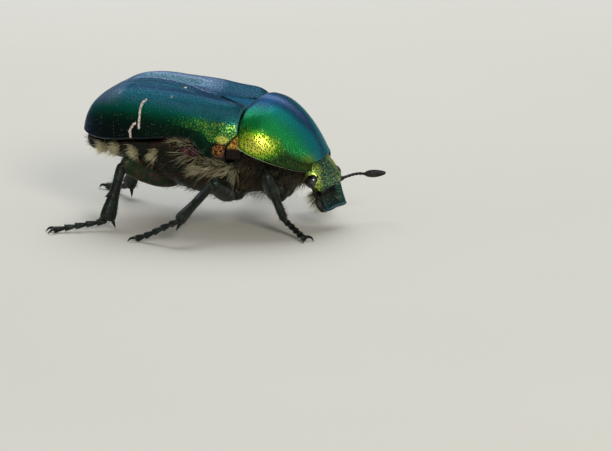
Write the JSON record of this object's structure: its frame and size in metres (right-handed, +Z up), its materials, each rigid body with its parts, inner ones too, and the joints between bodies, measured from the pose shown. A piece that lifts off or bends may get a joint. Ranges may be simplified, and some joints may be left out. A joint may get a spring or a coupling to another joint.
{
  "type": "rose chafer",
  "caption": "Life-size still model of a metallic green scarab beetle, standing nose down on its six legs with one antenna held out.",
  "frame": {"origin": "centre of the bounding box, on the floor that the feet stand on", "axes": "+X towards the head, +Y to the animal's left, +Z up"},
  "size_m": [0.0216, 0.0186, 0.0094],
  "materials": {
    "shell": "metallic green chitin, turning blue on top and gold low on the pronotum's side, finely pitted",
    "underside": "dark green to brown chitin with tufts of cream hair",
    "leg": "blackish green glossy chitin",
    "eye": "glossy dark brown, faceted",
    "feeler": "satin dark brown chitin"
  },
  "bodies": {
    "root": {"pronotum": "shell", "scutellum": "shell", "elytron_left": "shell", "elytron_right": "shell", "mesepimeron_left": "shell", "mesepimeron_right": "shell", "head": "shell", "pygidium": "shell", "prosternum": "underside", "thorax": "underside", "abdomen": "underside", "coxa_fore_left": "leg", "femur_fore_left": "leg", "tibia_fore_left": "leg", "tarsus_fore_left": "leg", "coxa_mid_left": "leg", "femur_mid_left": "leg", "tibia_mid_left": "leg", "tarsus_mid_left": "leg", "coxa_hind_left": "leg", "femur_hind_left": "leg", "tibia_hind_left": "leg", "tarsus_hind_left": "leg", "coxa_fore_right": "leg", "femur_fore_right": "leg", "tibia_fore_right": "leg", "tarsus_fore_right": "leg", "coxa_mid_right": "leg", "femur_mid_right": "leg", "tibia_mid_right": "leg", "tarsus_mid_right": "leg", "coxa_hind_right": "leg", "femur_hind_right": "leg", "tibia_hind_right": "leg", "tarsus_hind_right": "leg", "eye_left": "eye", "eye_right": "eye", "antenna_left": "feeler", "antenna_right": "feeler", "mouthparts": "feeler"}
  },
  "joints": []
}
